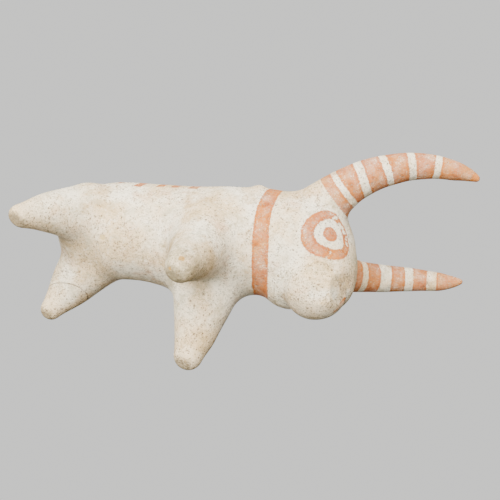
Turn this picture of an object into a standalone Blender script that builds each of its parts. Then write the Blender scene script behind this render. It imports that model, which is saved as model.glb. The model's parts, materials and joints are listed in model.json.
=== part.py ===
# A hand-built clay bull that stands on its four worn feet.
# Its own frame: +X towards the head, +Y to its left, +Z up, with the origin on the ground
# under the middle of the object. Lengths are metres; mm turns millimetres into metres.
#
# The bull is built as a potter builds it. Two pinched bowls, joined mouth to mouth, make the
# hollow barrel. A pinched ball makes the head. Solid rolls of clay make the muzzle, the legs
# and the horns. A thin coil of soft clay is pressed into each joint. The left hind foot has
# broken off and sits in place again.

import math

import bmesh
import bpy
from mathutils import Matrix, Vector

mm = 0.001

# ---- driving dimensions ----
joint_gap = 0.3 * mm            # slip between two pieces that touch

rump_x = -78.5 * mm             # rear end of the barrel's axis
rump_z = 26.5 * mm
barrel_pitch = math.radians(21.5)
barrel_length = 100.0 * mm
rump_radius = 20.4 * mm         # the barrel at the hind legs
chest_radius = 22.8 * mm        # the barrel at the front legs
neck_radius = 21.8 * mm         # the barrel where the head sits on it
rump_round = 20.0 * mm          # length of the rounded rear end
neck_round = 9.0 * mm           # length of the rounded front end, inside the head
body_wall = 5.0 * mm
vent_radius = 1.4 * mm          # needle hole at the rear, without which it bursts in the kiln
passage_radius = 3.5 * mm       # hole from the barrel into the head
seam_share = 0.46               # where the two bowls meet, as a share of the barrel's length
seam_width = 5.0 * mm
seam_depth = 2.2 * mm

head_length = 23.3 * mm         # half sizes of the pinched ball
head_width = 23.0 * mm
head_height = 22.8 * mm
head_ahead = 3.6 * mm           # ball's centre beyond the barrel's end
head_drop = 3.0 * mm            # ball's centre under the barrel's axis
head_wall = 5.5 * mm

muzzle_radius = 12.5 * mm
muzzle_ahead = 17.2 * mm        # middle of the muzzle's rounded end, from the head's middle
muzzle_drop = 21.4 * mm

horn_root_radius = 9.4 * mm
horn_tip_radius = 1.5 * mm
horn_root_ahead = 5.1 * mm      # horn's root inside the head, from the head's middle
horn_root_aside = 15.0 * mm
horn_root_above = 8.0 * mm
horn_reach = 56.2 * mm          # from a horn's root to its tip: forwards,
horn_spread = 12.2 * mm         # outwards,
horn_rise = 29.6 * mm           # and upwards

front_leg_root_radius = 12.2 * mm
front_foot_radius = 6.0 * mm
front_stance = 23.2 * mm        # half the distance between the front feet
front_feet_x = {"right": -3.0 * mm, "left": -3.9 * mm}
front_hip_along = 65.6 * mm     # leg's root: its distance from the rump, along the barrel's axis
front_hip_drop = 13.5 * mm      # and its depth under that axis
front_hip_share = 0.48          # sideways place of the root, as a share of the stance
front_knee_share = 0.70
front_knee_height = 22.0 * mm

hind_leg_root_radius = 11.4 * mm
hind_foot_radius = 4.9 * mm
hind_stance = 24.6 * mm         # half the distance between the hind feet
hind_feet_x = {"right": -75.3 * mm, "left": -71.2 * mm}
hind_hip_along = 15.6 * mm
hind_hip_drop = 1.3 * mm
hind_hip_share = 0.50
hind_knee_share = 0.78
hind_knee_height = 17.5 * mm

break_height = 11.8 * mm        # where the left hind foot broke off, on the middle of the leg
break_lean = math.radians(23)   # lean of the break's face from level
break_turn = math.radians(-131)  # the way its face leans, from +X towards +Y

coil_radius = 2.0 * mm          # soft coil pressed into a joint
neck_coil_radius = 2.4 * mm

# ---- mesh detail ----
barrel_sides = 32
roll_sides = 20
ring_points = 28
route_steps = 3                 # stretches between two points of a roll's route

clay_cream = (0.72, 0.66, 0.56)
clay_bare = (0.62, 0.52, 0.42)
paint_red = (0.62, 0.34, 0.22)


# ---- scene and helpers ----

def clear_scene():
    for old in list(bpy.data.objects):
        bpy.data.objects.remove(old)


def new_collection(name):
    group = bpy.data.collections.new(name)
    bpy.context.scene.collection.children.link(group)
    return group


def clay(name, colour, roughness=0.9):
    finish = bpy.data.materials.new(name)
    finish.use_nodes = True
    shader = finish.node_tree.nodes["Principled BSDF"]
    shader.inputs["Base Color"].default_value = (*colour, 1.0)
    shader.inputs["Roughness"].default_value = roughness
    shader.inputs["Metallic"].default_value = 0.0
    return finish


def add_object(name, mesh, group, parent=None):
    piece = bpy.data.objects.new(name, mesh)
    group.objects.link(piece)
    piece.parent = parent
    return piece


def finish_piece(piece, colour):
    piece.data.materials.clear()
    piece.data.materials.append(clay(piece.name + "_clay", colour))
    piece.data.shade_smooth()
    piece.data.set_sharp_from_angle(angle=math.radians(50))
    return piece


def make_cutter(piece):
    piece.hide_render = True
    piece.display_type = "WIRE"
    return piece


def cut(piece, cutter):
    step = piece.modifiers.new("cut_" + cutter.name, "BOOLEAN")
    step.operation = "DIFFERENCE"
    step.object = cutter
    return step


def smooth_values(values, steps):
    """Catmull-Rom samples through a list of tuples, the end values included."""
    padded = [values[0]] + list(values) + [values[-1]]
    samples = []
    for first, second, third, fourth in zip(padded, padded[1:], padded[2:], padded[3:]):
        for step in range(steps):
            t = step / steps
            samples.append(tuple(
                0.5 * (2 * b + (c - a) * t + (2 * a - 5 * b + 4 * c - d) * t * t
                       + (3 * b - a - 3 * c + d) * t ** 3)
                for a, b, c, d in zip(first, second, third, fourth)))
    samples.append(tuple(values[-1]))
    return samples


# ---- the barrel ----

def barrel_profile():
    """Distance from the rump and outer radius, from the rear pole to the front one."""
    front = barrel_length - neck_round
    middle = rump_round + 0.5 * (front - rump_round)
    rear_curve = [
        (rump_round * (1 - math.cos(turn)), rump_radius * math.sin(turn))
        for turn in (math.radians(a) for a in (25, 42, 58, 74))]
    side = [
        (rump_round + 4 * mm, rump_radius),
        (middle - 10 * mm, 0.6 * rump_radius + 0.4 * chest_radius),
        (middle + 8 * mm, chest_radius),
        (front - 12 * mm, 0.6 * chest_radius + 0.4 * neck_radius),
        (front, neck_radius)]
    front_curve = [
        (front + neck_round * math.sin(turn), neck_radius * math.cos(turn))
        for turn in (math.radians(a) for a in (35, 58, 74))]
    start = [(0.0, vent_radius), (0.6 * mm, 0.22 * rump_radius)]
    return start + rear_curve + side + front_curve + [(barrel_length, passage_radius)]


barrel_line = smooth_values(barrel_profile(), 2)


def barrel_radius(distance):
    for (start, low), (end, high) in zip(barrel_line, barrel_line[1:]):
        if start <= distance <= end:
            return low + (high - low) * (distance - start) / (end - start)
    return 0.0


barrel_along = Vector((math.cos(barrel_pitch), 0.0, math.sin(barrel_pitch)))
barrel_up = Vector((-math.sin(barrel_pitch), 0.0, math.cos(barrel_pitch)))
rump_point = Vector((rump_x, 0.0, rump_z))


def on_barrel(distance, turn, radius):
    """A point of the barrel; turn is measured from its top, towards the left side."""
    out = barrel_up * math.cos(turn) + Vector((0.0, 1.0, 0.0)) * math.sin(turn)
    return rump_point + barrel_along * distance + out * radius


def inside_barrel(point):
    offset = point - rump_point
    distance = offset.dot(barrel_along)
    return (offset - barrel_along * distance).length < barrel_radius(distance)


def turned(name, profile, group, parent, closed):
    """A profile of (along, radius), turned round the barrel's axis."""
    mesh = bpy.data.meshes.new(name)
    corners = [(radius, 0.0, along) for along, radius in profile]
    edges = [(i, i + 1) for i in range(len(corners) - 1)]
    if closed:
        edges.append((len(corners) - 1, 0))
    mesh.from_pydata(corners, edges, [])
    piece = add_object(name, mesh, group, parent)
    screw = piece.modifiers.new("turn", "SCREW")
    screw.steps = barrel_sides
    screw.render_steps = barrel_sides
    screw.use_merge_vertices = True
    screw.merge_threshold = 0.00001
    return piece


def bowl(name, start, end, group, parent):
    """One pinched bowl: the part of the barrel's line from start to end, with a wall."""
    inner = [row for row in barrel_line if start < row[0] < end]
    line = [(start, max(barrel_radius(start), vent_radius))] + inner
    line.append((end, max(barrel_radius(end), passage_radius)))
    line.reverse()
    piece = turned(name, line, group, parent, closed=False)
    wall = piece.modifiers.new("wall", "SOLIDIFY")
    wall.thickness = body_wall
    wall.offset = -1.0
    wall.use_even_offset = True
    return piece


def seam_profile(grow):
    """Cross-section of the coil in the groove between the bowls; grow makes its cutter."""
    middle = seam_share * barrel_length
    surface = barrel_radius(middle)
    slope = 0.25 * seam_width / seam_depth
    over = 1.0 * mm if grow else 0.0
    wide = 0.5 * seam_width + slope * over + 1.2 * grow
    narrow = 0.25 * seam_width - slope * grow + 1.2 * grow
    low = surface - seam_depth - grow
    return [(middle - wide, surface + over), (middle - narrow, low),
            (middle + narrow, low), (middle + wide, surface + over)]


def barrel_cutter(name, grow, group, parent):
    """The barrel's outer shape, a little larger, as one closed cutter."""
    line = [(-grow, 0.0)]
    line += [(max(0.0, along) - grow * (along < 0.3 * rump_round), radius + grow)
             for along, radius in barrel_line[:-1]]
    line.append((barrel_length + grow, passage_radius + grow))
    line.append((barrel_length + grow, 0.0))
    line.reverse()
    return make_cutter(turned(name, line, group, parent, closed=False))


# ---- the head ----

head_middle = rump_point + barrel_along * (barrel_length + head_ahead) - Vector((0, 0, head_drop))
head_size = Vector((head_length, head_width, head_height))


def inside_head(point):
    offset = point - head_middle
    return sum((offset[i] / head_size[i]) ** 2 for i in range(3)) < 1.0


def ball(name, size, group):
    mesh = bpy.data.meshes.new(name)
    shape = bmesh.new()
    bmesh.ops.create_uvsphere(shape, u_segments=32, v_segments=18, radius=1.0)
    bmesh.ops.rotate(shape, verts=shape.verts, matrix=Matrix.Rotation(math.pi / 2, 3, "Y"))
    bmesh.ops.scale(shape, vec=size, verts=shape.verts)
    shape.to_mesh(mesh)
    shape.free()
    piece = add_object(name, mesh, group)
    piece.location = head_middle
    return piece


def grown(size, grow):
    return Vector((size.x + grow, size.y + grow, size.z + grow))


# ---- rolls of clay: muzzle, legs, horns ----

def roll_line(points):
    """Smooth samples (x, y, z, radius) along a roll's route."""
    return smooth_values(points, route_steps)


def curve_mesh(name, line, group, closed=False, resolution=None):
    """A curve object of varying thickness, turned into a mesh with welded caps."""
    curve = bpy.data.curves.new(name + "_route", "CURVE")
    curve.dimensions = "3D"
    curve.bevel_depth = mm
    curve.bevel_resolution = roll_sides // 2 - 2 if resolution is None else resolution
    curve.use_fill_caps = not closed
    curve.twist_mode = "MINIMUM"
    route = curve.splines.new("POLY")
    route.points.add(len(line) - 1)
    for spot, (x, y, z, radius) in zip(route.points, line):
        spot.co = (x, y, z, 1.0)
        spot.radius = radius / mm
    route.use_cyclic_u = closed
    route.use_smooth = True
    guide = bpy.data.objects.new(name + "_guide", curve)
    group.objects.link(guide)
    bpy.context.view_layer.update()
    seen = guide.evaluated_get(bpy.context.evaluated_depsgraph_get())
    mesh = bpy.data.meshes.new_from_object(seen)
    mesh.name = name
    shape = bmesh.new()
    shape.from_mesh(mesh)
    bmesh.ops.remove_doubles(shape, verts=shape.verts, dist=0.00002)
    bmesh.ops.recalc_face_normals(shape, faces=shape.faces)
    shape.to_mesh(mesh)
    shape.free()
    piece = add_object(name, mesh, group)
    piece.matrix_world = guide.matrix_world
    bpy.data.objects.remove(guide)
    return piece


def keep_side(piece, point, normal):
    """Cuts a piece with a plane and keeps, closed, what lies ahead of it."""
    shape = bmesh.new()
    shape.from_mesh(piece.data)
    everything = shape.verts[:] + shape.edges[:] + shape.faces[:]
    result = bmesh.ops.bisect_plane(
        shape, geom=everything, plane_co=point, plane_no=normal, clear_inner=True)
    rim = [item for item in result["geom_cut"] if isinstance(item, bmesh.types.BMEdge)]
    if rim:
        bmesh.ops.contextual_create(shape, geom=rim)
    bmesh.ops.recalc_face_normals(shape, faces=shape.faces)
    shape.to_mesh(piece.data)
    shape.free()


def grown_line(line, grow):
    return [(x, y, z, radius + grow) for x, y, z, radius in line]


def roll_frame(line, index):
    """Centre, radius and two directions across a roll at one sample of its route."""
    last = len(line) - 1
    before = Vector(line[max(index - 1, 0)][:3])
    after = Vector(line[min(index + 1, last)][:3])
    along = (after - before).normalized()
    across = along.cross(Vector((1.0, 0.0, 0.0))).normalized()
    return Vector(line[index][:3]), line[index][3], across, along.cross(across).normalized()


def roll_crease(line, inside):
    """Where a roll's surface meets a body: one point for each direction round the roll."""
    frames = [roll_frame(line, i) for i in range(len(line))]
    crease = []
    for step in range(ring_points):
        turn = 2 * math.pi * step / ring_points
        track = [middle + (across * math.cos(turn) + over * math.sin(turn)) * radius
                 for middle, radius, across, over in frames]
        crease.append(entry_point(track, inside))
    return crease


def entry_point(track, inside):
    """The first point where a track of points, followed from its start, enters a body."""
    for outer, inner in zip(track, track[1:]):
        if inside(inner) and not inside(outer):
            for _ in range(18):
                middle = 0.5 * (outer + inner)
                if inside(middle):
                    inner = middle
                else:
                    outer = middle
            return outer
    return track[-1]


def soft_coil(name, crease, radius, group):
    """A soft coil of clay laid along a joint's crease."""
    line = [(point.x, point.y, point.z, radius) for point in crease]
    return curve_mesh(name, line, group, closed=True, resolution=2)


# ---- routes, each from its free end to its root ----

# Shapes of the rolls, in shares of the sizes above.
horn_path = [                   # forwards, outwards, upwards, thickness; from the tip to the root
    (1.0, 1.0, 1.0, 0.0),
    (0.95, 1.07, 0.997, 0.13),
    (0.83, 1.17, 0.956, 0.34),
    (0.63, 1.24, 0.85, 0.48),
    (0.41, 1.14, 0.64, 0.62),
    (0.196, 0.79, 0.34, 0.77),
    (0.0, 0.0, 0.0, 1.0)]
muzzle_path = [                 # backwards, upwards, radius; in muzzle radii, from its end inwards
    (-0.04, -0.96, 0.16),
    (-0.04, -0.82, 0.56),
    (-0.02, -0.45, 0.88),
    (0.0, 0.0, 1.0),
    (0.07, 0.58, 1.12),
    (0.46, 1.18, 1.22)]
foot_path = [                   # towards the hip, inwards of the stance, height, radius in foot radii
    (0.0, -0.6 * mm, -2.0 * mm, 0.62),
    (0.0, 0.0 * mm, 2.6 * mm, 0.93),
    (0.12, 2.0 * mm, 8.0 * mm, 1.1)]
knee_share = 0.45               # place of the knee between foot and hip


def leg_route(side, foot, knee, hip):
    """A leg from below the ground, where its worn sole is cut, up into the barrel.

    foot is its x, half the stance and its radius; knee is its share of the stance and its
    height; hip is a point on the barrel's axis, its share of the stance and its radius.
    """
    foot_x, stance, foot_radius = foot
    knee_aside, knee_z = knee
    hip_point, hip_aside, root_radius = hip
    forward = hip_point.x - foot_x
    knee_radius = 0.5 * (foot_path[-1][3] * foot_radius + root_radius)
    route = [(foot_x + share * forward, side * (stance - inward), height, foot_radius * size)
             for share, inward, height, size in foot_path]
    route.append((foot_x + knee_share * forward, side * stance * knee_aside, knee_z, knee_radius))
    route.append((hip_point.x, side * stance * hip_aside, hip_point.z, root_radius))
    return roll_line(route)


def hip_at(along, drop):
    return rump_point + barrel_along * along - barrel_up * drop


def front_leg_route(name, side):
    foot = (front_feet_x[name], front_stance, front_foot_radius)
    knee = (front_knee_share, front_knee_height)
    hip = (hip_at(front_hip_along, front_hip_drop), front_hip_share, front_leg_root_radius)
    return leg_route(side, foot, knee, hip)


def hind_leg_route(name, side):
    foot = (hind_feet_x[name], hind_stance, hind_foot_radius)
    knee = (hind_knee_share, hind_knee_height)
    hip = (hip_at(hind_hip_along, hind_hip_drop), hind_hip_share, hind_leg_root_radius)
    return leg_route(side, foot, knee, hip)


def horn_route(side):
    root = head_middle + Vector((horn_root_ahead, side * horn_root_aside, horn_root_above))
    thickness = horn_root_radius - horn_tip_radius
    return roll_line([
        (root.x + horn_reach * forwards, root.y + side * horn_spread * outwards,
         root.z + horn_rise * upwards, horn_tip_radius + thickness * size)
        for forwards, outwards, upwards, size in horn_path])


def muzzle_route():
    end = head_middle + Vector((muzzle_ahead, 0.0, -muzzle_drop))
    return roll_line([
        (end.x - muzzle_radius * backwards, 0.0, end.z + muzzle_radius * upwards,
         muzzle_radius * size)
        for backwards, upwards, size in muzzle_path])


def at_height(line, height):
    """The middle of a roll where its route passes a height."""
    for (x, y, z, _), (next_x, next_y, next_z, _) in zip(line, line[1:]):
        if z <= height <= next_z:
            share = (height - z) / (next_z - z)
            return Vector((x + share * (next_x - x), y + share * (next_y - y), height))
    return Vector(line[0][:3])


# ---- building ----

clear_scene()
parts = new_collection("clay_bull")
cutters = new_collection("cutters")

# The barrel's own axis: its local Z runs from the rump to the head.
barrel_axis = bpy.data.objects.new("barrel_axis", None)
parts.objects.link(barrel_axis)
barrel_axis.location = rump_point
barrel_axis.rotation_euler = (0.0, math.pi / 2 - barrel_pitch, 0.0)

seam = seam_share * barrel_length
rear_bowl = bowl("rear_body_bowl", 0.0, seam - 0.5 * joint_gap, parts, barrel_axis)
front_bowl = bowl("front_body_bowl", seam + 0.5 * joint_gap, barrel_length, parts, barrel_axis)
seam_groove = make_cutter(turned("seam_groove", seam_profile(joint_gap), cutters, barrel_axis, True))
for half in (rear_bowl, front_bowl):
    cut(half, seam_groove)
    finish_piece(half, clay_cream)
seam_coil = turned("body_seam_coil", seam_profile(0.0), parts, barrel_axis, closed=True)
finish_piece(seam_coil, clay_bare)

barrel_room = barrel_cutter("barrel_room", joint_gap, cutters, barrel_axis)
head_room = make_cutter(ball("head_room", grown(head_size, joint_gap), cutters))
head_hollow = make_cutter(ball("head_hollow", grown(head_size, -head_wall), cutters))
head = ball("head_shell", head_size, parts)
cut(head, head_hollow)
cut(head, barrel_room)
finish_piece(head, clay_cream)

neck_track = [barrel_length * (0.8 + 0.2 * step / 24) for step in range(24)]
neck_crease = [
    entry_point([on_barrel(s, 2 * math.pi * step / ring_points, barrel_radius(s))
                 for s in neck_track], inside_head)
    for step in range(ring_points)]
neck_coil = soft_coil("neck_coil", neck_crease, neck_coil_radius, parts)
cut(neck_coil, barrel_room)
cut(neck_coil, head_room)
finish_piece(neck_coil, clay_bare)


def add_roll(name, line, base_cutter, inside, colour, coil_name):
    """A roll of clay that ends on a body, and the soft coil round its joint."""
    roll = curve_mesh(name, line, parts)
    cut(roll, base_cutter)
    finish_piece(roll, colour)
    room = make_cutter(curve_mesh(name + "_room", grown_line(line, joint_gap), cutters))
    coil = soft_coil(coil_name, roll_crease(line, inside), coil_radius, parts)
    cut(coil, base_cutter)
    cut(coil, room)
    finish_piece(coil, clay_bare)
    return roll, coil


add_roll("muzzle", muzzle_route(), head_room, inside_head, clay_cream, "muzzle_coil")
ground = Vector((0.0, 0.0, 0.0))
upward = Vector((0.0, 0.0, 1.0))
for side_name, side in (("right", -1.0), ("left", 1.0)):
    add_roll(side_name + "_horn", horn_route(side), head_room, inside_head, paint_red,
             side_name + "_horn_coil")
    outward = Vector((0.0, side, 0.0))
    front_leg, front_coil = add_roll(
        "front_" + side_name + "_leg", front_leg_route(side_name, side), barrel_room,
        inside_barrel, clay_cream, "front_" + side_name + "_leg_coil")
    hind_leg, hind_coil = add_roll(
        "hind_" + side_name + "_leg", hind_leg_route(side_name, side), barrel_room,
        inside_barrel, clay_cream, "hind_" + side_name + "_leg_coil")
    for item in (front_leg, front_coil, hind_leg, hind_coil):
        keep_side(item, outward * 0.5 * joint_gap, outward)
    for leg in (front_leg, hind_leg):
        keep_side(leg, ground, upward)

# The left hind foot, broken off across the shin and set back in its place.
break_middle = at_height(hind_leg_route("left", 1.0), break_height)
break_normal = Vector((
    math.sin(break_lean) * math.cos(break_turn), math.sin(break_lean) * math.sin(break_turn),
    math.cos(break_lean)))
foot = add_object("hind_left_foot", hind_leg.data.copy(), parts)
finish_piece(foot, clay_cream)
keep_side(foot, break_middle - break_normal * 0.5 * joint_gap, -break_normal)
keep_side(hind_leg, break_middle + break_normal * 0.5 * joint_gap, break_normal)
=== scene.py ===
import json
import math

import bpy
import numpy as np
from mathutils import Matrix, Vector

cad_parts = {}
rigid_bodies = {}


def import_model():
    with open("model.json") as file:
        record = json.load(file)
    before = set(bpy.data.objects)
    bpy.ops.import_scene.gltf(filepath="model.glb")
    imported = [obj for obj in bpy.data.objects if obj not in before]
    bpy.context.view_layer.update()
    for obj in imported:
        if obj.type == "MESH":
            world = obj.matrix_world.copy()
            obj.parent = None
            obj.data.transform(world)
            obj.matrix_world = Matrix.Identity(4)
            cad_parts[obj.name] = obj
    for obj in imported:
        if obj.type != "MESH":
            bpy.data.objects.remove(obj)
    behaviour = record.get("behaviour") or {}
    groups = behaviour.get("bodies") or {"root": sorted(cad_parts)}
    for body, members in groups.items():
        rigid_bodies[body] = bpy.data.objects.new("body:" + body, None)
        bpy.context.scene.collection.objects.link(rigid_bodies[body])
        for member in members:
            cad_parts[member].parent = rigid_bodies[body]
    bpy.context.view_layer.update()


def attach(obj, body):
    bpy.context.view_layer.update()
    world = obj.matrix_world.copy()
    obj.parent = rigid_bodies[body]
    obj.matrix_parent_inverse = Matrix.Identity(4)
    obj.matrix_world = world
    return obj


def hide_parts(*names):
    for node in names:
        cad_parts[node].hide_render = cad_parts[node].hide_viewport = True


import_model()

# A hand-built clay bull that stands on four worn feet: x to its head, y to its left, z up.
# Its skin is modelled as one soft form, the way wet clay is smoothed over its joints. The
# form is then cut along the joints into the pieces that the bull is built from.

mm = 0.001


# The rough forms. Each route lists x, y, z and radius in millimetres, from its free end inwards.
# Legs and horns have y as on the left side, and the right ones are mirrored.

barrel = {
    "route": [(-64.0, -0.5, 31.5, 15.5), (-57.0, -0.8, 35.2, 20.7), (-42.0, -0.2, 41.4, 20.7),
              (-25.0, 0, 45.2, 22.2), (-9.5, 0, 50.4, 23.4), (3.0, 0, 57.0, 22.2),
              (17.6, 0, 58.8, 23.2)],
    "rump": (-78.5, 0, 26.5),        # rear end of the straight axis that joints are measured along
    "pitch": 21.5,
    "seamCoil": (43.5, 48.5), "neckCoil": (86.5, 93.0),     # both sides of a coil, along that axis
    "vent": {"place": (-78.0, 0, 28.0), "radius": 1.4, "depth": 4.5, "around": 3.5, "reach": 6},
}
head = {"ball": (18.0, 0, 59.6, 23.4)}
muzzle = {
    "route": [(35.2, 0.4, 40.2, 12.5), (33.6, 1.0, 46.2, 15.0), (28.6, 1.0, 52.7, 18.6),
              (21.0, 0.5, 58.6, 21.8)],
    "jaw": (21.4, 4.2, 47.2, 14.0),
    "facing": (0.648, 0, -0.762), "coil": (20.0, 24.5),     # both sides of its coil, from the head's middle
}
withers = {"height": 1.1, "width": 4.5, "place": 85.0, "fadeOver": (2, 12)}
# Hollows pressed by a thumb: a place, how far each reaches and how deep it is.
pressed = [((9.5, -14.0, 76.5), 15.0, 1.6), ((9.5, 14.0, 76.5), 15.0, 1.6), ((47.0, -3.0, 44.5), 9.0, 0.9)]
# Flats patted on the muzzle: a place, the way it faces, and how far it reaches.
flatness = 0.85
flats = [
    {"place": (44.6, -6.5, 45.0), "facing": (0.93, -0.34, -0.14), "reach": 15.0},
    {"place": (39.3, -6.7, 32.8), "facing": (0.38, -0.63, -0.68), "reach": 12.0},
    {"place": (31.5, -17.6, 46.0), "facing": (0.45, -0.80, -0.40), "reach": 13.0},
]
horn = {
    "route": [(78.0, 27.3, 98.9, 1.7), (75.5, 28.2, 98.6, 2.6), (69.5, 29.4, 97.5, 4.0),
              (58.4, 30.2, 94.5, 5.2), (46.0, 29.0, 88.2, 6.3), (34.0, 24.6, 79.4, 7.5),
              (23.0, 15.0, 69.5, 10.2)],
    "bands": {"right": [(5.9, 12.0), (14.2, 19.5), (22.6, 29.9), (32.6, 39.8), (42.6, 50.4), (52.7, 76.0)],
              "left": [(5.0, 11.5), (14.8, 21.4), (23.9, 30.2), (36.4, 42.8), (46.3, 53.2), (57.2, 76.0)]},
    "root": (27.6, 19.2, 73.4), "facing": (0.614, 0.536, 0.581), "coilWidth": 4.5, "inner": 4,
}
frontLeg = {
    "right": [(-3.2, 23.2, 5.4, 6.1), (-5.2, 19.0, 14.5, 8.4), (-8.2, 14.5, 24.1, 11.0),
              (-13.0, 9.0, 38.0, 16.0)],
    "left": [(-3.9, 23.2, 5.2, 6.0), (-5.6, 19.0, 14.5, 8.8), (-8.0, 14.5, 24.1, 11.9),
             (-12.5, 9.0, 38.0, 16.5)],
    "root": (-9.9, 12.7, 28.4), "facing": (0.337, 0.362, -0.871), "coilWidth": 4.5,
    "span": (48, 90),                # the part of the barrel's axis that its joints apply to
}
hindLeg = {
    "right": [(-74.9, 24.6, 3.2, 4.8), (-70.8, 19.5, 15.0, 8.7), (-63.8, 10.4, 30.0, 13.6)],
    "left": [(-71.0, 24.4, 3.8, 4.6), (-68.4, 19.6, 16.0, 9.8), (-63.2, 10.4, 29.4, 14.2)],
    "root": (-67.6, 15.2, 21.0), "facing": (-0.357, 0.497, -0.789), "coilWidth": 4.0,
    "span": (-40, 38),
    "break": {"place": (-70.0, 21.0, 11.8), "facing": (0.24, 0.28, -0.93)},     # left leg only
}
skin = {
    "voxel": 0.62, "firstSmooth": 8, "trunkSmooth": 40, "lastSmooth": 3,
    "fillRounds": 110, "fillPush": 0.95, "fillRefresh": 6,
    "trunkOut": (33, 26), "trunkEnd": (122, 108),       # where the trunk's smoothing fades away
}


# Small helpers.

def deselectAll():
    if bpy.context.object and bpy.context.object.mode != "OBJECT":
        bpy.ops.object.mode_set(mode="OBJECT")
    bpy.ops.object.select_all(action="DESELECT")


def pick(piece, *others):
    deselectAll()
    for item in (piece,) + others:
        item.select_set(True)
    bpy.context.view_layer.objects.active = piece


def spot(point):
    return Vector(point) * mm


def mirrored(route, side):
    return [(x, side * y, z, radius) for x, y, z, radius in route]


def unit(*values):
    return np.array(Vector(values).normalized())


sides = (("right", -1), ("left", 1))
pitch = math.radians(barrel["pitch"])
alongBarrel = np.array([math.cos(pitch), 0, math.sin(pitch)])
overBarrel = np.array([-math.sin(pitch), 0, math.cos(pitch)])


# Rough forms of rolled clay.

def clayBall(name, knot):
    x, y, z, radius = knot
    bpy.ops.mesh.primitive_uv_sphere_add(
        segments=40, ring_count=24, radius=radius * mm, location=spot((x, y, z)))
    bpy.context.object.name = name


def clayRoll(name, route):
    bpy.ops.curve.primitive_bezier_curve_add()
    roll = bpy.context.object
    roll.name = name
    roll.data.dimensions = "3D"
    line = roll.data.splines[0]
    line.bezier_points.add(len(route) - 2)
    line.resolution_u = 10
    for knot, (x, y, z, radius) in zip(line.bezier_points, route):
        knot.co = spot((x, y, z))
        knot.radius = radius
        knot.handle_left_type = knot.handle_right_type = "AUTO"
    roll.data.bevel_depth = mm
    roll.data.bevel_resolution = 10
    roll.data.use_fill_caps = True
    pick(roll)
    bpy.ops.object.convert(target="MESH")
    clayBall(name + "Tip", route[0])
    clayBall(name + "Root", route[-1])


deselectAll()
earlier = set(bpy.data.objects)
clayRoll("barrelForm", barrel["route"])
clayBall("headForm", head["ball"])
clayRoll("muzzleForm", muzzle["route"])
clayBall("jawForm", muzzle["jaw"])
for sideName, side in sides:
    clayRoll(sideName + "HornForm", mirrored(horn["route"], side))
    clayRoll(sideName + "FrontLegForm", mirrored(frontLeg[sideName], side))
    clayRoll(sideName + "HindLegForm", mirrored(hindLeg[sideName], side))
forms = [item for item in bpy.data.objects if item not in earlier]
pick(forms[0], *forms[1:])
bpy.ops.object.join()
clay = bpy.context.object
clay.name = "clay"
bpy.ops.object.transform_apply(location=True, rotation=True, scale=True)
oneSkin = clay.modifiers.new("oneSkin", "REMESH")
oneSkin.mode = "VOXEL"
oneSkin.voxel_size = skin["voxel"] * mm
bpy.ops.object.modifier_apply(modifier="oneSkin")
print("rough forms joined:", len(clay.data.vertices), "points")


# Vertex work on the soft form: everything here is in millimetres.

def readField(mesh, field, size):
    values = np.empty(len(mesh.vertices) * size)
    mesh.vertices.foreach_get(field, values)
    return values.reshape(-1, size)


def readPlaces(mesh):
    return readField(mesh, "co", 3) / mm


def readNormals(mesh):
    return readField(mesh, "normal", 3)


def writePlaces(mesh, places):
    mesh.vertices.foreach_set("co", (places * mm).ravel())
    mesh.update()


class Neighbours:
    def __init__(self, mesh):
        pairs = np.empty(len(mesh.edges) * 2, dtype=np.int64)
        mesh.edges.foreach_get("vertices", pairs)
        pairs = pairs.reshape(-1, 2)
        self.here = np.concatenate([pairs[:, 0], pairs[:, 1]])
        self.there = np.concatenate([pairs[:, 1], pairs[:, 0]])
        self.size = len(mesh.vertices)
        self.count = np.maximum(np.bincount(self.here, minlength=self.size), 1)[:, None]

    def average(self, values):
        sums = [np.bincount(self.here, column[self.there], self.size) for column in values.T]
        return np.stack(sums, 1) / self.count


def fade(value, low, high):
    share = np.clip((value - low) / (high - low), 0, 1)
    return share * share * (3 - 2 * share)


def alongAndOver(places):
    offset = places - np.array(barrel["rump"])
    along = offset @ alongBarrel
    return along, np.linalg.norm(offset - along[:, None] * alongBarrel, axis=1), offset @ overBarrel


near = Neighbours(clay.data)
places = readPlaces(clay.data)
for turn in range(skin["firstSmooth"]):
    places += 0.5 * (near.average(places) - places)
for turn in range(skin["fillRounds"]):
    if turn % skin["fillRefresh"] == 0:
        writePlaces(clay.data, places)
        normals = readNormals(clay.data)
    pull = ((near.average(places) - places) * normals).sum(1)
    places += normals * np.maximum(pull, 0)[:, None] * skin["fillPush"]
along, out, over = alongAndOver(places)
trunk = (fade(out, *skin["trunkOut"]) * fade(along, *skin["trunkEnd"]))[:, None]
for turn in range(skin["trunkSmooth"]):
    places += 0.5 * trunk * (near.average(places) - places)
for turn in range(skin["lastSmooth"]):
    places += 0.5 * (near.average(places) - places)
writePlaces(clay.data, places)
print("joints smoothed over")


# Marks of the hand: soft lumps, the withers fold, worn soles and the needle hole.

lumps = {"strength": 0.55, "size": 15.0}
soles = {"flat": 0.05, "rim": (1.6, 0.5), "rounds": 6}       # heights of the flat face and its worn rim
lumpTexture = bpy.data.textures.new("lumps", "CLOUDS")
lumpTexture.noise_scale = lumps["size"] * mm
lumpTexture.noise_depth = 1
pick(clay)
handMarks = clay.modifiers.new("handMarks", "DISPLACE")
handMarks.texture = lumpTexture
handMarks.texture_coords = "LOCAL"
handMarks.strength = lumps["strength"] * mm
handMarks.mid_level = 0.5
bpy.ops.object.modifier_apply(modifier="handMarks")

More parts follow.
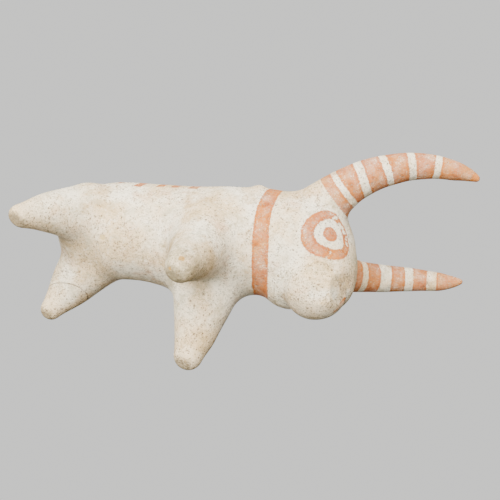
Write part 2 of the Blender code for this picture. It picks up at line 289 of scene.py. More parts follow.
places = readPlaces(clay.data)
normals = readNormals(clay.data)
along, out, over = alongAndOver(places)
fold = fade(np.abs(along - withers["place"]), withers["width"], 0) * fade(over, *withers["fadeOver"])
places += normals * (withers["height"] * fold)[:, None]
for middle, reach, depth in pressed:
    away = np.linalg.norm(places - np.array(middle), axis=1)
    places -= normals * (depth * fade(away, reach, 0))[:, None]
for flat in flats:
    facing = unit(*flat["facing"])
    offset = places - np.array(flat["place"])
    away = np.linalg.norm(offset, axis=1)
    proudOf = np.maximum(offset @ facing, 0) * fade(away, flat["reach"], flat["reach"] * 0.6)
    places -= flatness * proudOf[:, None] * facing
writePlaces(clay.data, places)


def editFaces(piece, chosen):     # leaves the piece in edit mode, with only the chosen faces selected
    pick(piece)
    bpy.ops.object.mode_set(mode="EDIT")
    bpy.ops.mesh.select_mode(type="FACE")
    bpy.ops.mesh.select_all(action="DESELECT")
    bpy.ops.object.mode_set(mode="OBJECT")
    piece.data.polygons.foreach_set("select", chosen.astype(bool))
    bpy.ops.object.mode_set(mode="EDIT")


def faceMiddles(mesh):
    middles = np.empty(len(mesh.polygons) * 3)
    mesh.polygons.foreach_get("center", middles)
    return middles.reshape(-1, 3) / mm


editFaces(clay, np.ones(len(clay.data.polygons)))
bpy.ops.mesh.bisect(plane_co=(0, 0, 0), plane_no=(0, 0, 1), use_fill=True, clear_inner=True)
bpy.ops.object.mode_set(mode="OBJECT")
editFaces(clay, faceMiddles(clay.data)[:, 2] < soles["flat"])
bpy.ops.mesh.poke()
bpy.ops.mesh.subdivide(number_cuts=2)
bpy.ops.object.mode_set(mode="OBJECT")

vent = barrel["vent"]
ventAway = np.linalg.norm(faceMiddles(clay.data) - np.array(vent["place"]), axis=1)
editFaces(clay, ventAway < vent["around"])
bpy.ops.mesh.subdivide(number_cuts=2)
bpy.ops.object.mode_set(mode="OBJECT")
places = readPlaces(clay.data)
offset = places - np.array(vent["place"])
deep = offset @ alongBarrel
sidewise = np.linalg.norm(offset - deep[:, None] * alongBarrel, axis=1)
poked = fade(sidewise, vent["radius"] * 1.25, vent["radius"] * 0.75) * (np.abs(deep) < vent["reach"])
places += (poked * vent["depth"])[:, None] * alongBarrel
writePlaces(clay.data, places)

near = Neighbours(clay.data)
places = readPlaces(clay.data)
rims = fade(places[:, 2], *soles["rim"])[:, None]
for turn in range(soles["rounds"]):
    places += 0.5 * rims * (near.average(places) - places)
places[:, 2] = np.maximum(places[:, 2], 0)
writePlaces(clay.data, places)
print("hand marks pressed in")


# How far along its horn each point lies, for the painted rings.
def routeLengths(route):
    points = np.array([knot[:3] for knot in route[::-1]], dtype=float)
    steps = np.linalg.norm(np.diff(points, axis=0), axis=1)
    return points, np.concatenate([[0], np.cumsum(steps)])


def lengthAlong(places, points, lengths):
    best = np.full(len(places), np.inf)
    result = np.zeros(len(places))
    for number in range(len(points) - 1):
        line = points[number + 1] - points[number]
        share = ((places - points[number]) @ line) / (line @ line)
        share = np.clip(share, -0.5 if number == 0 else 0, 1.5 if number == len(points) - 2 else 1)
        away = np.linalg.norm(places - points[number] - share[:, None] * line, axis=1)
        closer = away < best
        best[closer] = away[closer]
        step = lengths[number + 1] - lengths[number]
        result[closer] = (lengths[number] + share * step)[closer]
    return result


hornPoints, hornLengths = routeLengths(horn["route"])
mirroredPlaces = np.column_stack([places[:, 0], np.abs(places[:, 1]), places[:, 2]])
hornAlong = lengthAlong(mirroredPlaces, hornPoints, hornLengths)
clay.data.attributes.new("hornAlong", "FLOAT", "POINT").data.foreach_set("value", hornAlong)

# How proud each point stands: above 0.5 on ridges and ends, below it in hollows.
normals = readNormals(clay.data)
bend = ((places - near.average(places)) * normals).sum(1)[:, None]
proudness = {"rounds": 24, "gain": 22}
for turn in range(proudness["rounds"]):
    bend = near.average(bend)
proud = np.clip(0.5 + bend[:, 0] * proudness["gain"], 0, 1)
clay.data.attributes.new("proud", "FLOAT", "POINT").data.foreach_set("value", proud)


# The joints. Each is a plane: a place on it, the direction of its free side, and where it applies.

def joint(name, place, facing, reach):
    return {"name": name, "place": np.array(place, dtype=float), "facing": facing, "reach": reach}


def at(distance):
    return np.array(barrel["rump"]) + distance * alongBarrel


def whole(places):
    return np.ones(len(places), dtype=bool)


def onHead(places):
    return alongAndOver(places)[0] > barrel["neckCoil"][1]


def onHorn(side):
    return lambda places: onHead(places) & (places[:, 1] * side > horn["inner"])


def onLeg(leg, side):
    low, high = leg["span"]

    def reach(places):
        along = alongAndOver(places)[0]
        return (places[:, 1] * side > 0) & (along > low) & (along < high)
    return reach


joints = [
    joint("body_seam_coil", at(barrel["seamCoil"][0]), alongBarrel, whole),
    joint("front_body_bowl", at(barrel["seamCoil"][1]), alongBarrel, whole),
    joint("neck_coil", at(barrel["neckCoil"][0]), alongBarrel, whole),
    joint("head_shell", at(barrel["neckCoil"][1]), alongBarrel, whole),
]
muzzleFacing = unit(*muzzle["facing"])
for name, distance in zip(("muzzle_coil", "muzzle"), muzzle["coil"]):
    place = np.array(head["ball"][:3]) + distance * muzzleFacing
    joints.append(joint(name, place, muzzleFacing, onHead))


def addRolledPiece(name, roll, side, reach):      # a horn or leg, and the coil round its root
    x, y, z = roll["facing"]
    facing = unit(x, y * side, z)
    x, y, z = roll["root"]
    root = np.array((x, y * side, z))
    joints.append(joint(name + "_coil", root, facing, reach))
    joints.append(joint(name, root + roll["coilWidth"] * facing, facing, reach))


for sideName, side in sides:
    addRolledPiece(sideName + "_horn", horn, side, onHorn(side))
    addRolledPiece("front_" + sideName + "_leg", frontLeg, side, onLeg(frontLeg, side))
    addRolledPiece("hind_" + sideName + "_leg", hindLeg, side, onLeg(hindLeg, side))
crackPlace = np.array(hindLeg["break"]["place"])
crackFacing = unit(*hindLeg["break"]["facing"])
joints.append(joint("hind_left_foot", crackPlace, crackFacing, onLeg(hindLeg, 1)))


def beyond(cut, places):
    return ((places - cut["place"]) @ cut["facing"] > 0) & cut["reach"](places)


cutBand = 2.5                     # faces this near a joint's plane are cut by it, in millimetres
for cut in joints:
    middles = faceMiddles(clay.data)
    close = np.abs((middles - cut["place"]) @ cut["facing"]) < cutBand
    editFaces(clay, close & cut["reach"](middles))
    bpy.ops.mesh.bisect(plane_co=spot(cut["place"]), plane_no=cut["facing"].tolist())
    bpy.ops.object.mode_set(mode="OBJECT")

middles = faceMiddles(clay.data)
owner = np.zeros(len(middles), dtype=np.int32)
for number, cut in enumerate(joints, 1):
    owner[beyond(cut, middles)] = number
pieceNames = ["rear_body_bowl"] + [cut["name"] for cut in joints]

normals = readNormals(clay.data)
clay.data.attributes.new("softNormal", "FLOAT_VECTOR", "POINT").data.foreach_set("vector", normals.ravel())
clay.data.materials.clear()
for name in pieceNames:
    marker = bpy.data.materials.new(name)
    marker["piece"] = name
    clay.data.materials.append(marker)
clay.data.polygons.foreach_set("material_index", owner)
pick(clay)
bpy.ops.object.mode_set(mode="EDIT")
bpy.ops.mesh.separate(type="MATERIAL")
bpy.ops.object.mode_set(mode="OBJECT")
pieces = {}
for piece in list(bpy.context.selected_objects):
    name = piece.data.materials[piece.data.polygons[0].material_index]["piece"]
    piece.name = name + "_clay"
    pieces[name] = piece

for name, piece in pieces.items():
    pick(piece)
    bpy.ops.object.mode_set(mode="EDIT")
    bpy.ops.mesh.select_mode(type="VERT")
    bpy.ops.mesh.select_all(action="DESELECT")
    bpy.ops.mesh.select_non_manifold()
    bpy.ops.mesh.fill_holes(sides=0)
    bpy.ops.object.mode_set(mode="OBJECT")
    piece.data.shade_smooth()
    soft = np.empty(len(piece.data.vertices) * 3)
    piece.data.attributes["softNormal"].data.foreach_get("vector", soft)
    piece.data.normals_split_custom_set_from_vertices(soft.reshape(-1, 3))
print("cut into", len(pieces), "pieces")


# Node helpers: every pattern works in millimetres on the object's own coordinates.

def tone(red, green, blue):
    return tuple((v / 255) ** 2.2 for v in (red, green, blue)) + (1,)


class Wiring:
    def __init__(self, tree):
        self.tree = tree

    def feed(self, socket, value):
        if isinstance(value, bpy.types.NodeSocket):
            self.tree.links.new(value, socket)
        else:
            socket.default_value = value

    def add(self, kind, inputs=(), output=0, **settings):
        node = self.tree.nodes.new("ShaderNode" + kind)
        for name, value in settings.items():
            setattr(node, name, value)
        for name, value in dict(inputs).items():
            self.feed(node.inputs[name], value)
        return node.outputs[output]

    def sum(self, operation, *values):
        return self.add("Math", enumerate(values), operation=operation)

    def vector(self, operation, *values):
        output = "Value" if operation in ("LENGTH", "DOT_PRODUCT", "DISTANCE") else "Vector"
        return self.add("VectorMath", enumerate(values), output, operation=operation)

    def stretch(self, value, low, high, toLow=0.0, toHigh=1.0, bend="SMOOTHSTEP"):
        spread = {"Value": value, "From Min": low, "From Max": high, "To Min": toLow, "To Max": toHigh}
        return self.add("MapRange", spread, interpolation_type=bend)

    def noise(self, place, size, detail=2.0, roughness=0.5, squash=(1, 1, 1)):
        scaled = self.vector("MULTIPLY", place, tuple(v / size for v in squash))
        settings = {"Vector": scaled, "Scale": 1.0, "Detail": detail, "Roughness": roughness}
        return self.add("TexNoise", settings)

    def mix(self, share, first, second):
        node = self.tree.nodes.new("ShaderNodeMix")
        node.data_type = "RGBA"
        for number, value in ((0, share), (6, first), (7, second)):
            self.feed(node.inputs[number], value)
        return node.outputs[2]


def newGroup(name, inputs, outputs):
    tree = bpy.data.node_groups.new(name, "ShaderNodeTree")
    for direction, sockets in (("INPUT", inputs), ("OUTPUT", outputs)):
        for label, kind in sockets:
            tree.interface.new_socket(label, in_out=direction, socket_type="NodeSocket" + kind)
    start = tree.nodes.new("NodeGroupInput").outputs
    finish = tree.nodes.new("NodeGroupOutput").inputs
    return tree, Wiring(tree), start, finish


slip = {
    "pale": tone(242, 231, 206), "warm": tone(224, 197, 154), "pink": tone(218, 184, 150),
    "grey": tone(184, 174, 144), "stain": tone(188, 152, 98), "speck": tone(80, 60, 40),
    "bare": tone(176, 158, 126), "grime": tone(134, 124, 90), "rim": tone(122, 100, 68),
    # hollow is shade painted into hollows and creases, not a colour the clay has
    "hollow": tone(142, 142, 108), "grit": tone(150, 122, 76),
}
slipSize = {"clouds": 21, "patches": 8.5, "mottle": 1.7, "grain": 0.42, "tan": 12.5, "wear": 1.1,
            "dirt": 1.0, "dirtArea": 6.5, "grit": 0.62, "gritArea": 9.5, "ochre": 3.1}
speckNet = {
    "stir": 0.9, "stirReach": 1.1, "bySpecks": 0.35, "byPatches": 1.4, "soft": 0.12, "ragged": 0.35,
    # each net's width, the share of its cells left empty and the speck's reach
    "nets": ((1.1, 0.64, 0.36), (1.9, 0.76, 0.3), (0.66, 0.6, 0.44)),
}


def buildSlip():
    tree, w, start, finish = newGroup(
        "slipSurface",
        [("Place", "Vector"), ("Proud", "Float"), ("Specks", "Float"), ("Worn", "Float")],
        [("Color", "Color"), ("Roughness", "Float"), ("Height", "Float"), ("Specks", "Float")])
    place, proud, specks, worn = (start[name] for name in ("Place", "Proud", "Specks", "Worn"))
    clouds = w.noise(place, slipSize["clouds"], 3, 0.55)
    patches = w.noise(place, slipSize["patches"], 3, 0.6)
    mottle = w.noise(place, slipSize["mottle"], 4, 0.65)
    grain = w.noise(place, slipSize["grain"], 2, 0.6)
    color = w.mix(w.stretch(clouds, 0.38, 0.62), slip["pale"], slip["warm"])
    color = w.mix(w.stretch(patches, 0.52, 0.74, 0, 0.75), color, slip["pink"])
    color = w.mix(w.stretch(patches, 0.46, 0.28, 0, 0.7), color, slip["grey"])
    color = w.mix(w.stretch(mottle, 0.54, 0.7, 0, 0.6), color, slip["grey"])
    color = w.mix(w.stretch(mottle, 0.46, 0.32, 0, 0.6), color, slip["pale"])
    tan = w.stretch(w.noise(place, slipSize["tan"], 5, 0.72), 0.5, 0.68, 0, 0.62)
    color = w.mix(tan, color, slip["stain"])
    # Painted shade: the less proud a point is, down into hollows and creases, the more it takes a dark
    # grey-green tone that stands in for shade.
    color = w.mix(w.stretch(proud, 0.47, 0.2, 0, 0.6), color, slip["hollow"])
    rub = w.stretch(w.sum("ADD", proud, w.sum("MULTIPLY", patches, 0.35)), 0.78, 0.95, 0, 0.55)
    color = w.mix(rub, color, slip["warm"])
    wear = w.stretch(w.noise(place, slipSize["wear"], 4, 0.75), 0.44, 0.66)
    wornColor = w.mix(wear, slip["bare"], slip["rim"])
    color = w.mix(worn, color, wornColor)

    # Dark specks sit in some of the cells of three nets. The nets are stirred, so no speck is round.
    fine = w.vector("MULTIPLY", place, (speckNet["stir"],) * 3)
    stir = w.add("TexNoise", {"Vector": fine, "Scale": 1.0, "Detail": 3.0}, "Color")
    stirred = w.vector("ADD", place, w.vector("MULTIPLY", stir, (speckNet["stirReach"],) * 3))
    spotMask = None
    for size, keep, reach in speckNet["nets"]:
        cell = w.tree.nodes.new("ShaderNodeTexVoronoi")
        moved = w.vector("ADD", stirred, (size * 3,) * 3)
        w.feed(cell.inputs["Vector"], w.vector("MULTIPLY", moved, (1 / size,) * 3))
        cell.inputs["Scale"].default_value = 1.0
        luck = w.add("SeparateColor", {"Color": cell.outputs["Color"]})
        crowd = luck
        for value, gain in ((specks, speckNet["bySpecks"]), (patches, speckNet["byPatches"])):
            crowd = w.sum("ADD", crowd, w.sum("MULTIPLY", w.sum("SUBTRACT", value, 0.5), gain))
        chosen = w.stretch(crowd, keep, keep + speckNet["soft"])
        ragged = w.sum("MULTIPLY", w.sum("SUBTRACT", grain, 0.5), speckNet["ragged"])
        shape = w.sum("ADD", cell.outputs["Distance"], ragged)
        dot = w.sum("MULTIPLY", chosen, w.stretch(shape, reach, reach * 0.35))
        spotMask = dot if spotMask is None else w.sum("MAXIMUM", spotMask, dot)
    dirt = w.stretch(w.noise(place, slipSize["dirt"], 6, 0.85, squash=(0.75, 1.0, 1.25)), 0.48, 0.62)
    dirtArea = w.stretch(w.noise(place, slipSize["dirtArea"], 3, 0.6), 0.38, 0.62, 0.3, 1.0)
    dirt = w.sum("MULTIPLY", dirt, dirtArea)
    color = w.mix(w.sum("MULTIPLY", dirt, w.stretch(specks, 0.1, 0.9, 0.4, 0.95)), color, slip["grime"])
    grit = w.stretch(w.noise(place, slipSize["grit"], 3, 0.75), 0.52, 0.62, 0, 0.5)
    gritArea = w.stretch(w.noise(place, slipSize["gritArea"], 3, 0.6), 0.36, 0.6, 0.25, 1.0)
    grit = w.sum("MULTIPLY", grit, gritArea)
    color = w.mix(grit, color, slip["grit"])
    ochre = w.stretch(w.noise(place, slipSize["ochre"], 4, 0.7), 0.62, 0.75, 0, 0.6)
    ochre = w.sum("MULTIPLY", ochre, w.stretch(specks, 0.1, 0.9, 0.35, 1))
    color = w.mix(ochre, color, slip["stain"])
    speckShare = w.sum("MULTIPLY", spotMask, w.stretch(mottle, 0.3, 0.6, 0.4, 0.85))
    w.feed(finish["Color"], w.mix(speckShare, color, slip["speck"]))
    w.feed(finish["Roughness"], w.stretch(mottle, 0.3, 0.7, 0.78, 0.93))
    height = w.sum("ADD", w.sum("MULTIPLY", grain, 0.35), w.sum("MULTIPLY", mottle, 0.9))
    height = w.sum("ADD", height, w.sum("MULTIPLY", patches, 1.6))
    height = w.sum("SUBTRACT", height, w.sum("MULTIPLY", spotMask, 0.55))
    w.feed(finish["Height"], height)
    w.feed(finish["Specks"], speckShare)
    return tree


paint = {
    "rose": tone(176, 102, 57), "orange": tone(180, 105, 40), "deep": tone(118, 62, 30),
    "ragged": 1.1, "wander": 0.8, "soft": 0.3,
}
paintSize = {"ragged": 0.9, "wander": 4.2, "wash": 4.6, "tint": 7.5, "streak": 1.3, "fleck": 0.55}


def buildPaint():
    tree, w, start, finish = newGroup(
        "earthPaint",
        [("Place", "Vector"), ("Inside", "Float"), ("Proud", "Float")],
        [("Cover", "Float"), ("Color", "Color")])
    place, inside, proud = (start[name] for name in ("Place", "Inside", "Proud"))
    rag = w.sum("SUBTRACT", w.noise(place, paintSize["ragged"], 3, 0.6), 0.5)
    rag = w.sum("MULTIPLY", rag, paint["ragged"])
    drift = w.sum("SUBTRACT", w.noise(place, paintSize["wander"], 2), 0.5)
    drift = w.sum("MULTIPLY", drift, paint["wander"])
    edge = w.sum("ADD", w.sum("ADD", inside, rag), drift)
    cover = w.stretch(edge, -paint["soft"] / 2, paint["soft"])
    wash = w.noise(place, paintSize["wash"], 3, 0.6)
    tint = w.noise(place, paintSize["tint"], 2, 0.5)
    streak = w.noise(place, paintSize["streak"], 4, 0.7)
    fleck = w.noise(place, paintSize["fleck"], 3, 0.7)
    washed = w.sum("ADD", wash, w.sum("MULTIPLY", w.sum("SUBTRACT", fleck, 0.5), 0.5))
    thin = w.stretch(washed, 0.3, 0.7, 1.0, 0.74)
    rim = w.stretch(edge, 1.5, 0.3, 0, 0.22)
    bare = w.stretch(w.sum("ADD", fleck, w.sum("MULTIPLY", wash, 0.4)), 0.78, 0.9, 0, 0.55)
    scuff = w.stretch(w.sum("ADD", proud, w.sum("MULTIPLY", streak, 0.4)), 0.82, 1.0, 0, 0.5)
    kept = w.sum("SUBTRACT", w.sum("MINIMUM", w.sum("ADD", thin, rim), 1.0), w.sum("MAXIMUM", bare, scuff))
    w.feed(finish["Cover"], w.sum("MULTIPLY", cover, w.sum("MAXIMUM", kept, 0.0)))
    color = w.mix(w.stretch(tint, 0.38, 0.62), paint["rose"], paint["orange"])
    color = w.mix(w.stretch(streak, 0.48, 0.7, 0, 0.6), color, paint["deep"])
    color = w.mix(w.stretch(fleck, 0.54, 0.7, 0, 0.45), color, paint["deep"])
    w.feed(finish["Color"], w.mix(w.stretch(wash, 0.42, 0.3, 0, 0.45), color, paint["deep"]))
    return tree


slipGroup = buildSlip()
paintGroup = buildPaint()


# Painted marks. Each gives how far inside its edge a place is, in millimetres.

neckBand = {"place": 88.5, "halfWidth": 3.35, "lean": 7.8, "from": -16.0, "to": 30.0}
spineStrokes = {
    "slant": 5.5, "from": -6, "to": 20,
    # each is its place along the back, its half width and how far down the flank it starts
    "strokes": [(25.8, 1.2, 9.0), (33.9, 1.7, 5.5), (43.2, 1.8, 6.5), (49.4, 1.7, 5.5), (57.3, 2.0, 5.0)],
}
eye = {
    "middle": (34.5, -16.0, 54.7), "facing": (0.551, -0.826, -0.118), "corner": (0.784, 0.559, -0.270),
    "ring": 10.7, "ringCorners": 0.35, "ringShift": (-0.43, -0.13, -1.13),
    "white": 6.4, "whiteCorners": 0.5, "dot": 3.15, "depth": 12.0,
    "scrapeSize": 1.5, "scrapeRagged": 4.5,
    "scrapes": [((32.8, -18.5, 60.9), (33.4, -17.6, 64.0), 0.5),
                ((38.0, -13.5, 48.2), (37.0, -12.3, 44.5), 0.35),
                ((35.4, -15.6, 62.2), (37.8, -13.4, 61.4), 0.9),
                ((39.0, -12.2, 60.6), (40.9, -10.6, 57.4), 0.5)],
}
mouth = {"points": [(46.8, 2.1, 41.0), (46.6, 1.9, 37.5), (46.0, 3.5, 34.5)], "halfWidth": 1.0}


def capsule(w, place, start, end, halfWidth):
    line = [b - a for a, b in zip(start, end)]
    size = sum(v * v for v in line)
    offset = w.vector("SUBTRACT", place, start)
    share = w.sum("DIVIDE", w.vector("DOT_PRODUCT", offset, line), size)
    share = w.add("Clamp", {"Value": share})
    nearest = w.add("VectorMath", {"Vector": line, "Scale": share}, operation="SCALE")
    return w.sum("SUBTRACT", halfWidth, w.vector("DISTANCE", offset, nearest))


def markAlongAndOver(w, place):
    offset = w.vector("SUBTRACT", place, barrel["rump"])
    return (w.vector("DOT_PRODUCT", offset, tuple(alongBarrel)),
            w.vector("DOT_PRODUCT", offset, tuple(overBarrel)))


def slab(w, value, middle, halfWidth):
    return w.sum("SUBTRACT", halfWidth, w.sum("ABSOLUTE", w.sum("SUBTRACT", value, middle)))


def neckMark(w, place):
    along, over = markAlongAndOver(w, place)
    low = neckBand["place"]
    middle = w.stretch(over, neckBand["from"], neckBand["to"], low, low + neckBand["lean"])
    return slab(w, along, middle, neckBand["halfWidth"])


def spineMark(w, place):
    along, over = markAlongAndOver(w, place)
    best = None
    for middle, half, reach in spineStrokes["strokes"]:
        low, high = reach + spineStrokes["from"], reach + spineStrokes["to"]
        shifted = w.stretch(over, low, high, middle, middle + spineStrokes["slant"])
        mark = w.sum("MINIMUM", slab(w, along, shifted, half), w.sum("SUBTRACT", over, reach))
        best = mark if best is None else w.sum("MAXIMUM", best, mark)
    return best


def flatDistance(w, place, middle):
    offset = w.vector("SUBTRACT", place, middle)
    out = w.vector("DOT_PRODUCT", offset, eye["facing"])
    sunk = w.add("VectorMath", {"Vector": eye["facing"], "Scale": out}, operation="SCALE")
    flat = w.vector("SUBTRACT", offset, sunk)
    size = w.vector("LENGTH", flat)
    turn = w.sum("DIVIDE", w.vector("DOT_PRODUCT", flat, eye["corner"]), w.sum("MAXIMUM", size, 0.01))
    # The cosine of three times the angle gives a rounded shape with three soft corners.
    cubed = w.sum("MULTIPLY", turn, w.sum("MULTIPLY", turn, turn))
    triple = w.sum("SUBTRACT", w.sum("MULTIPLY", cubed, 4.0), w.sum("MULTIPLY", turn, 3.0))
    return size, triple, out


def eyeMark(w, place):
    x, y, z = (w.add("SeparateXYZ", {"Vector": place}, name) for name in "XYZ")
    oneSide = w.add("CombineXYZ", {"X": x, "Y": w.sum("MULTIPLY", w.sum("ABSOLUTE", y), -1.0), "Z": z})
    size, triple, out = flatDistance(w, oneSide, eye["middle"])
    outerMiddle = tuple(a + b for a, b in zip(eye["middle"], eye["ringShift"]))
    outerSize, outerTriple, out = flatDistance(w, oneSide, outerMiddle)
    ringCorners = w.sum("MULTIPLY", outerTriple, eye["ringCorners"])
    outer = w.sum("ADD", w.sum("SUBTRACT", eye["ring"], outerSize), ringCorners)
    whiteCorners = w.sum("MULTIPLY", triple, eye["whiteCorners"])
    inner = w.sum("ADD", w.sum("SUBTRACT", eye["white"], size), whiteCorners)
    ring = w.sum("MINIMUM", outer, w.sum("MULTIPLY", inner, -1.0))
    ragged = w.sum("SUBTRACT", w.noise(oneSide, eye["scrapeSize"], 4, 0.7), 0.5)
    ragged = w.sum("MULTIPLY", ragged, eye["scrapeRagged"])
    for start, end, half in eye["scrapes"]:
        scraped = w.sum("ADD", capsule(w, oneSide, start, end, half), ragged)
        ring = w.sum("MINIMUM", ring, w.sum("MULTIPLY", scraped, -1.0))
    mark = w.sum("MAXIMUM", ring, w.sum("SUBTRACT", eye["dot"], size))
    return w.sum("MINIMUM", mark, w.sum("ADD", out, eye["depth"]))


def mouthMark(w, place):
    start, bend, end = mouth["points"]
    strokes = [capsule(w, place, a, b, mouth["halfWidth"]) for a, b in ((start, bend), (bend, end))]
    return w.sum("MAXIMUM", *strokes)


def hornMark(bands):
    def mark(w, place):
        along = w.add("Attribute", output="Fac", attribute_name="hornAlong")
        best = None
        for start, end in bands:
            inside = slab(w, along, (start + end) / 2, (end - start) / 2)
            best = inside if best is None else w.sum("MAXIMUM", best, inside)
        return best
    return mark


# One finish for each kind of piece. Specks and worn soles change from piece to piece.

wornSole = {"roughSize": 1.4, "ragged": 2.4, "heights": (2.7, 1.3), "share": 0.85, "specks": 0.5}
lowDarkening = {"size": 2.6, "heights": (25, 4)}
crackLine = {"ragged": 0.35, "edges": (0.24, 0.06), "share": 0.75, "depth": 0.9, "color": tone(110, 92, 72)}
bumps = {"strength": 0.75, "depth": 0.3, "paint": 0.25}


def clayFinish(name, marks=(), specks=0.45, crack=False, chips=(), rubbing=1.0, darkenLow=0.0, strong=1.0):
    finish = bpy.data.materials.new(name)
    finish.use_nodes = True
    w = Wiring(finish.node_tree)
    shader = finish.node_tree.nodes["Principled BSDF"]
    shader.inputs["Specular IOR Level"].default_value = 0.3
    place = w.vector("MULTIPLY", w.add("TexCoord", output="Object"), (1000.0,) * 3)
    proud = w.add("Attribute", output="Fac", attribute_name="proud")
    if rubbing < 1:
        proud = w.stretch(proud, 0.0, 1.0, 0.5 - 0.5 * rubbing, 0.5 + 0.5 * rubbing, "LINEAR")
    height = w.add("SeparateXYZ", {"Vector": place}, "Z")
    rough = w.noise(place, wornSole["roughSize"], 3, 0.6)
    edge = w.sum("ADD", height, w.sum("MULTIPLY", rough, wornSole["ragged"]))
    sole = w.stretch(edge, *wornSole["heights"], 0, wornSole["share"])
    speckled = w.sum("ADD", w.sum("MULTIPLY", sole, wornSole["specks"]), specks)
    slipped = w.tree.nodes.new("ShaderNodeGroup")
    slipped.node_tree = slipGroup
    for label, value in (("Place", place), ("Proud", proud), ("Specks", speckled), ("Worn", sole)):
        w.feed(slipped.inputs[label], value)
    color = slipped.outputs["Color"]
    relief = slipped.outputs["Height"]
    # Darker towards the bottom: the grime tone is mixed in under noise, fading in below 25 mm height and full
    # by 4 mm.
    if darkenLow:
        lowDark = w.stretch(w.noise(place, lowDarkening["size"], 4, 0.7), 0.36, 0.6, 0.3 * darkenLow, darkenLow)
        lowDark = w.sum("MULTIPLY", lowDark, w.stretch(height, *lowDarkening["heights"]))
        color = w.mix(lowDark, color, slip["grime"])
    if marks:
        inside = marks[0](w, place)
        for mark in marks[1:]:
            inside = w.sum("MAXIMUM", inside, mark(w, place))
        painted = w.tree.nodes.new("ShaderNodeGroup")
        painted.node_tree = paintGroup
        for label, value in (("Place", place), ("Inside", inside), ("Proud", proud)):
            w.feed(painted.inputs[label], value)
        cover = w.sum("SUBTRACT", strong, slipped.outputs["Specks"])
        cover = w.sum("MAXIMUM", w.sum("MULTIPLY", painted.outputs["Cover"], cover), 0.0)
        color = w.mix(cover, color, painted.outputs["Color"])
        relief = w.sum("ADD", relief, w.sum("MULTIPLY", cover, bumps["paint"]))
    for middle, size, shadeColor in chips:
        away = w.vector("DISTANCE", place, middle)
        chip = w.stretch(w.sum("ADD", away, w.sum("MULTIPLY", rough, size)), size * 1.6, size * 1.3, 0, 0.8)
        color = w.mix(chip, color, shadeColor)
        relief = w.sum("SUBTRACT", relief, chip)
    if crack:
        offset = w.vector("SUBTRACT", place, tuple(crackPlace))
        away = w.vector("DOT_PRODUCT", offset, tuple(crackFacing))
        ragged = w.sum("MULTIPLY", w.sum("SUBTRACT", rough, 0.5), crackLine["ragged"])
        away = w.sum("ABSOLUTE", w.sum("ADD", away, ragged))
        line = w.stretch(away, *crackLine["edges"], 0, crackLine["share"])
        color = w.mix(line, color, crackLine["color"])
        relief = w.sum("SUBTRACT", relief, w.sum("MULTIPLY", line, crackLine["depth"]))
    w.feed(shader.inputs["Base Color"], color)
    w.feed(shader.inputs["Roughness"], slipped.outputs["Roughness"])
    bump = {"Height": relief, "Strength": bumps["strength"], "Distance": bumps["depth"] * mm}
    w.feed(shader.inputs["Normal"], w.add("Bump", bump))
    return finish


flankChips = [((-49.7, -11.0, 19.2), 1.3, tone(200, 172, 116))]
trunkFinish = clayFinish("trunkClay", [neckMark, spineMark], 0.5, chips=flankChips)
headFinish = clayFinish("headClay", [neckMark, eyeMark], 0.48)
muzzleFinish = clayFinish("muzzleClay", [mouthMark, eyeMark], 0.92)
stumpChips = [((-1.5, -28.7, 4.2), 1.2, tone(156, 116, 44)), ((-4.2, -25.6, 1.0), 1.0, tone(160, 124, 60))]
stumpFinish = clayFinish("stumpClay", specks=0.7, chips=stumpChips, darkenLow=0.55)
legFinish = clayFinish("legClay", specks=0.6)
footFinish = clayFinish("footClay", specks=0.6, crack=True)
hornFinish = {}
for sideName, tips in (("right", [((78.0, -27.3, 98.9), 3.4, tone(200, 118, 44))]), ("left", [])):
    rings = [hornMark(horn["bands"][sideName])]
    hornFinish[sideName] = clayFinish(sideName + "HornClay", rings, 0.3, chips=tips, rubbing=0.3, strong=0.97)
finishes = {}
for name in pieces:
    finishes[name] = trunkFinish
finishes["head_shell"] = headFinish
for name in ("muzzle", "muzzle_coil"):
    finishes[name] = muzzleFinish
for name in ("front_left_leg", "hind_right_leg"):
    finishes[name] = legFinish
finishes["front_right_leg"] = stumpFinish
for name in ("hind_left_leg", "hind_left_foot"):
    finishes[name] = footFinish
for sideName, side in sides:
    finishes[sideName + "_horn"] = finishes[sideName + "_horn_coil"] = hornFinish[sideName]

for name, piece in pieces.items():
    words = name.split("_")
    piece.name = words[0] + "".join(word.capitalize() for word in words[1:])
    piece.data.materials.clear()
    piece.data.materials.append(finishes[name])
    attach(piece, "root")
    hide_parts(name)
print("finished with slip and earth paint")


# Camera, light and floor.

lamps = {
    "skyFrom": (0.05, -0.95, -0.3), "skyLow": 0.04, "skyHigh": 0.62, "skyColor": (0.975, 1.0, 0.965, 1),
    "backdrop": (0.95, 0.95, 0.93, 1), "target": (0, 0, 0.05), "key": 36.0, "top": 5.0, "fill": 6.0,
}
view = {
    "place": (137.2, -229.0, -194.8), "right": (0.8852, 0.0301, 0.4642), "up": (-0.2738, -0.7731, 0.5722),
    "lens": 63.2, "sensor": 36,
}
camera = bpy.data.objects.new("camera", bpy.data.cameras.new("camera"))
bpy.context.scene.collection.objects.link(camera)
camera.data.lens = view["lens"]
camera.data.sensor_width = view["sensor"]
across, upward = Vector(view["right"]), Vector(view["up"])
turned = Matrix((across, upward, across.cross(upward))).transposed().to_4x4()
camera.matrix_world = Matrix.Translation(spot(view["place"])) @ turned
bpy.context.scene.camera = camera

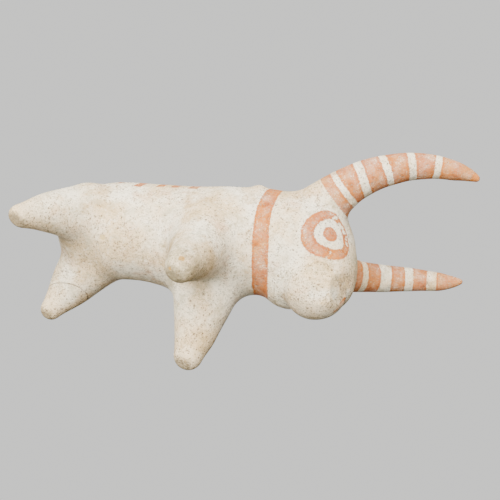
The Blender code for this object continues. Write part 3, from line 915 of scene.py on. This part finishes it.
studio = bpy.data.worlds.new("studio")
studio.use_nodes = True
w = Wiring(studio.node_tree)
facing = w.vector("DOT_PRODUCT", w.add("TexCoord", output="Generated"), lamps["skyFrom"])
glow = w.stretch(facing, -0.75, 1.0, lamps["skyLow"], lamps["skyHigh"])
seen = w.add("LightPath", output="Is Camera Ray")
sky = studio.node_tree.nodes["Background"].inputs
w.feed(sky["Color"], w.mix(seen, lamps["skyColor"], lamps["backdrop"]))
w.feed(sky["Strength"], w.sum("ADD", w.sum("MULTIPLY", glow, w.sum("SUBTRACT", 1.0, seen)), seen))
bpy.context.scene.world = studio


def softLamp(name, place, size, power, warmth):
    lamp = bpy.data.objects.new(name, bpy.data.lights.new(name, "AREA"))
    bpy.context.scene.collection.objects.link(lamp)
    lamp.data.size = size
    lamp.data.energy = power
    lamp.data.color = warmth
    turn = (Vector(lamps["target"]) - Vector(place)).to_track_quat("-Z", "Y").to_matrix().to_4x4()
    lamp.matrix_world = Matrix.Translation(Vector(place)) @ turn


softLamp("keyLamp", (0.04, -0.75, -0.29), 0.9, lamps["key"], (1.0, 0.975, 0.94))
softLamp("topLamp", (-0.1, -0.35, 0.8), 0.6, lamps["top"], (1.0, 0.99, 0.97))
softLamp("backLamp", (-0.5, 0.5, 0.5), 0.5, lamps["fill"], (0.97, 0.98, 1.0))

ground = {"size": 6, "fade": (0.3, 1.1), "color": (0.8, 0.8, 0.78, 1), "roughness": 0.9}
bpy.ops.mesh.primitive_plane_add(size=1.0, location=(0, 0, 0))
floor = bpy.context.object
floor.name = "floor"
bpy.ops.object.mode_set(mode="EDIT")
bpy.ops.transform.resize(value=(ground["size"], ground["size"], 1))
bpy.ops.object.mode_set(mode="OBJECT")
paleFloor = bpy.data.materials.new("paleFloor")
paleFloor.use_nodes = True
w = Wiring(paleFloor.node_tree)
matt = paleFloor.node_tree.nodes["Principled BSDF"]
matt.inputs["Base Color"].default_value = ground["color"]
matt.inputs["Roughness"].default_value = ground["roughness"]
clear = w.add("BsdfTransparent")
# The floor fades into the backdrop away from the bull, and is clear from below.
away = w.vector("LENGTH", w.add("TexCoord", output="Object"))
gone = w.sum("MAXIMUM", w.stretch(away, *ground["fade"]), w.add("NewGeometry", output="Backfacing"))
oneSided = w.add("MixShader", {0: gone, 1: matt.outputs[0], 2: clear})
w.feed(paleFloor.node_tree.nodes["Material Output"].inputs["Surface"], oneSided)
floor.data.materials.append(paleFloor)
floor.visible_shadow = False
floor.visible_diffuse = False
print("lit and framed")
